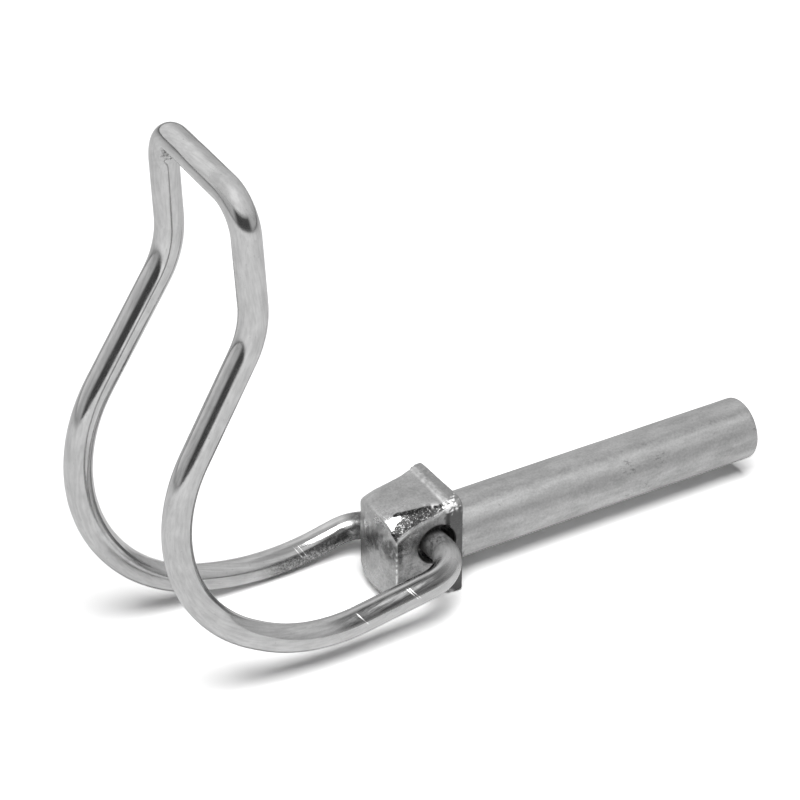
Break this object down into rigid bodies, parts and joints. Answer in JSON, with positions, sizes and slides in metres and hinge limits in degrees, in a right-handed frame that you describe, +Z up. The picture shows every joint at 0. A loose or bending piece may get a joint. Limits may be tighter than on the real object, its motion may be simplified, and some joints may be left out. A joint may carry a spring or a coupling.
{
  "type": "lynch pin",
  "caption": "Lynch pin with a round shaft, a forged head with a collar, and a bent wire loop that swings on the head and closes over the shaft's tip.",
  "frame": {"origin": "where the shaft's axis meets the collar's seating face", "axes": "+X along the shaft's axis towards its tip, +Y along the cross hole that the loop turns in, +Z up, towards the raised loop's bar"},
  "size_m": [0.0892, 0.023, 0.066],
  "materials": {
    "forged_steel": "satin zinc plate over forged steel, mottled, with fine pits and scratches",
    "spring_wire": "satin zinc plate over drawn spring wire, with dark drawing marks on its straights"
  },
  "bodies": {
    "pin": {"pin": "forged_steel"},
    "loop": {"wire_loop": "spring_wire"}
  },
  "joints": [
    {"name": "loop_swing", "type": "hinge", "parent": "pin", "child": "loop", "pos_m": [-0.0036, 0, 0.00165], "axis": [0, 1, 0], "continuous": true}
  ]
}
